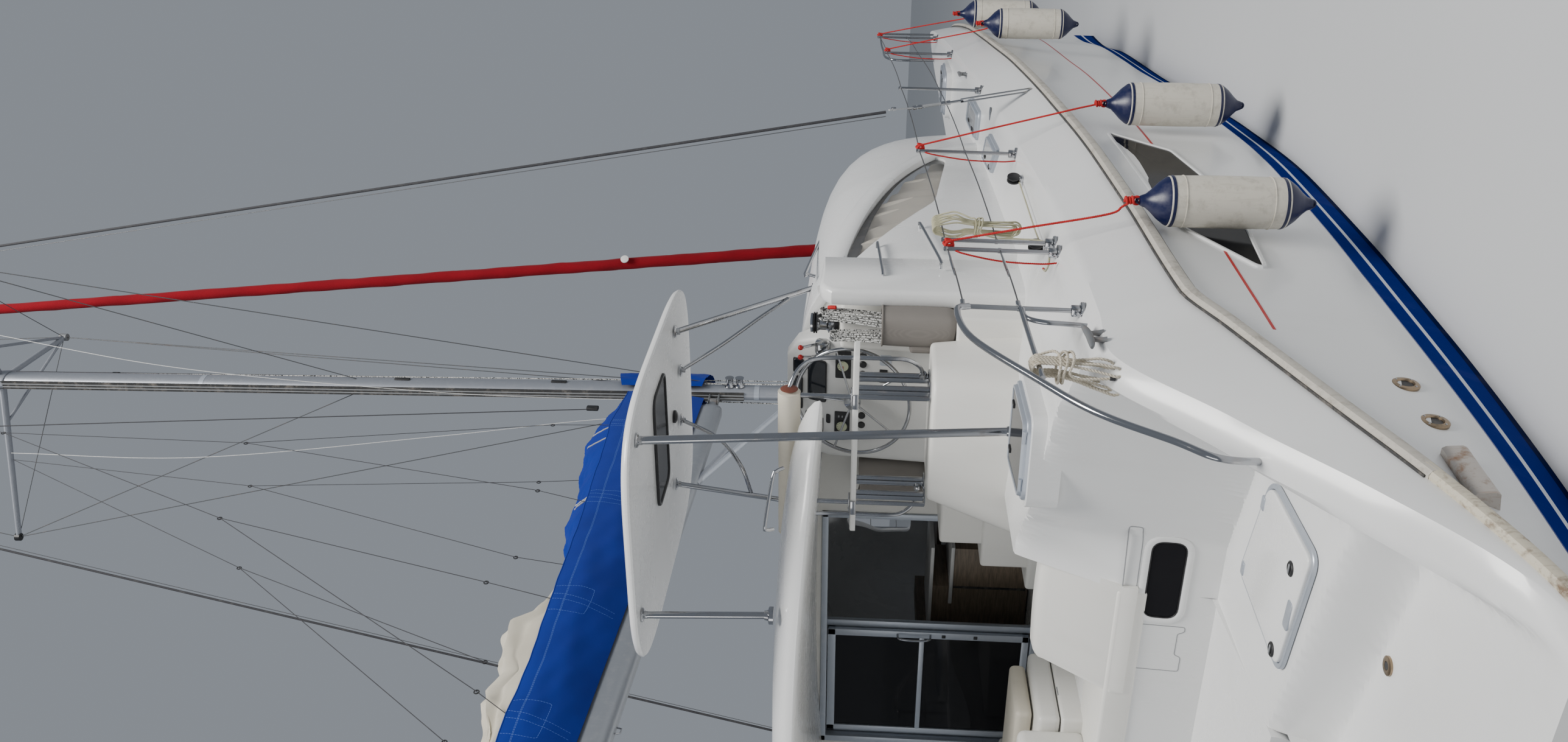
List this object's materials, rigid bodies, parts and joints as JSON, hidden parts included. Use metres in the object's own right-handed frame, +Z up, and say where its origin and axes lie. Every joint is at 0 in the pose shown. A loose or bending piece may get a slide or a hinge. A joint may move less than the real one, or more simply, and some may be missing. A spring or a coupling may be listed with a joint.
{
  "type": "sailing catamaran",
  "caption": "Cruising sailing catamaran with twin hulls, raised starboard helm under a hardtop, stowed mainsail and furled headsail.",
  "frame": {"origin": "on the centreline at the waterline, half way along the length", "axes": "+X to the bow, +Y to port, +Z up from the waterline"},
  "size_m": [12.86, 7.45, 21.97],
  "materials": {
    "gelcoat": "white gelcoat, slightly dulled",
    "gelcoat_warm": "warm white moulded gelcoat",
    "antifouling": "flat blue bottom paint",
    "stainless": "polished stainless tube",
    "anodised": "grey anodised",
    "dark_glass": "dark tinted",
    "blue_cloth": "royal blue acrylic canvas",
    "red_cloth": "dark red sail cover strip",
    "sailcloth": "off-white woven polyester",
    "fender_vinyl": "scuffed white inflatable vinyl",
    "cream_vinyl": "cream upholstery vinyl",
    "taupe_mesh": "taupe mesh",
    "oak": "grey-brown oak veneer",
    "console": "white moulded",
    "rigging": "dark stay wire",
    "bronze": "bronze, dull",
    "cast_grey": "painted casting",
    "netting": "black net",
    "rope": "off-white laid rope"
  },
  "bodies": {
    "yacht": {"hull_starboard": "gelcoat", "hull_port": "gelcoat", "keel_starboard": "antifouling", "keel_port": "antifouling", "bridgedeck": "gelcoat", "cockpit_moulding": "gelcoat_warm", "saloon_walls": "gelcoat", "roof": "gelcoat", "helm_moulding": "gelcoat", "helm_seat": "gelcoat", "hardtop": "gelcoat", "saloon_side_glass_starboard": "dark_glass", "saloon_side_glass_port": "dark_glass", "saloon_front_glass_starboard": "dark_glass", "saloon_front_glass_port": "dark_glass", "aft_bulkhead": "gelcoat_warm", "fixed_door_pane": "dark_glass", "galley_cabinet": "oak", "saloon_seat_and_table": "oak", "helm_console": "console", "hardtop_frame": "stainless", "helm_bolster": "cream_vinyl", "rope_bag": "taupe_mesh", "mast": "anodised", "spreaders": "anodised", "forestay_drum": "anodised", "crossbeam": "anodised", "furled_genoa": "red_cloth", "shroud_starboard": "rigging", "shroud_port": "rigging", "anchor_arm": "cast_grey", "trampoline_starboard": "netting", "trampoline_port": "netting", "guardrail_starboard": "stainless", "guardrail_port": "stainless", "saildrive_starboard": "cast_grey", "saildrive_port": "cast_grey", "engine_starboard": "cast_grey", "engine_port": "cast_grey", "fender_1": "fender_vinyl", "fender_2": "fender_vinyl", "fender_3": "fender_vinyl", "fender_4": "fender_vinyl", "rope_hank_rail": "rope", "rope_hank_lifeline": "rope"},
    "boom": {"boom": "anodised", "sail_bag": "blue_cloth", "mainsail": "sailcloth"},
    "sliding_door": {"sliding_door": "dark_glass"},
    "steering_wheel": {"steering_wheel": "stainless"},
    "rudder_starboard": {"rudder_starboard": "antifouling"},
    "rudder_port": {"rudder_port": "antifouling"},
    "propeller_starboard": {"propeller_starboard": "bronze"},
    "propeller_port": {"propeller_port": "bronze"},
    "engine_hatch_starboard": {"engine_hatch_starboard": "gelcoat"},
    "engine_hatch_port": {"engine_hatch_port": "gelcoat"},
    "aft_deck_hatch_starboard": {"aft_deck_hatch_starboard": "dark_glass"},
    "aft_deck_hatch_port": {"aft_deck_hatch_port": "dark_glass"},
    "fore_deck_hatch_starboard": {"fore_deck_hatch_starboard": "dark_glass"},
    "fore_deck_hatch_port": {"fore_deck_hatch_port": "dark_glass"}
  },
  "joints": [
    {"name": "boom_swing", "type": "hinge", "parent": "yacht", "child": "boom", "pos_m": [1.35, 0, 4.193], "axis": [-0.0319, 0, 0.9995], "range_deg": [-60, 60]},
    {"name": "door_slide", "type": "slide", "parent": "yacht", "child": "sliding_door", "axis": [0, -1, 0], "range_m": [0, 1.034]},
    {"name": "wheel_turn", "type": "hinge", "parent": "yacht", "child": "steering_wheel", "pos_m": [-1.89, -1.78, 2.78], "axis": [0.9781, 0, -0.2079], "range_deg": [-360, 360]},
    {"name": "rudder_starboard_turn", "type": "hinge", "parent": "yacht", "child": "rudder_starboard", "pos_m": [-5.31, -2.57, -0.8], "axis": [0, 0, 1], "range_deg": [-35, 35]},
    {"name": "propeller_starboard_spin", "type": "hinge", "parent": "yacht", "child": "propeller_starboard", "pos_m": [-4.038, -2.57, -0.88], "axis": [1, 0, 0], "continuous": true},
    {"name": "engine_hatch_starboard_lift", "type": "hinge", "parent": "yacht", "child": "engine_hatch_starboard", "pos_m": [-4.76, -2.8155, 0.7803], "axis": [1, 0, 0], "range_deg": [0, 85]},
    {"name": "aft_deck_hatch_starboard_lift", "type": "hinge", "parent": "yacht", "child": "aft_deck_hatch_starboard", "pos_m": [-3.99, -2.5, 1.8503], "axis": [0, -1, 0], "range_deg": [0, 85]},
    {"name": "fore_deck_hatch_starboard_lift", "type": "hinge", "parent": "yacht", "child": "fore_deck_hatch_starboard", "pos_m": [4.01, -2.57, 1.9503], "axis": [0, 1, 0], "range_deg": [0, 85]},
    {"name": "rudder_port_turn", "type": "hinge", "parent": "yacht", "child": "rudder_port", "pos_m": [-5.31, 2.57, -0.8], "axis": [0, 0, 1], "range_deg": [-35, 35]},
    {"name": "propeller_port_spin", "type": "hinge", "parent": "yacht", "child": "propeller_port", "pos_m": [-4.038, 2.57, -0.88], "axis": [1, 0, 0], "continuous": true},
    {"name": "engine_hatch_port_lift", "type": "hinge", "parent": "yacht", "child": "engine_hatch_port", "pos_m": [-4.76, 2.8155, 0.7803], "axis": [-1, 0, 0], "range_deg": [0, 85]},
    {"name": "aft_deck_hatch_port_lift", "type": "hinge", "parent": "yacht", "child": "aft_deck_hatch_port", "pos_m": [-3.99, 2.5, 1.8503], "axis": [0, -1, 0], "range_deg": [0, 85]},
    {"name": "fore_deck_hatch_port_lift", "type": "hinge", "parent": "yacht", "child": "fore_deck_hatch_port", "pos_m": [4.01, 2.57, 1.9503], "axis": [0, 1, 0], "range_deg": [0, 85]}
  ],
  "couplings": [
    {"joint": "rudder_starboard_turn", "follows": "wheel_turn", "ratio": 0.097222},
    {"joint": "rudder_port_turn", "follows": "wheel_turn", "ratio": 0.097222}
  ]
}
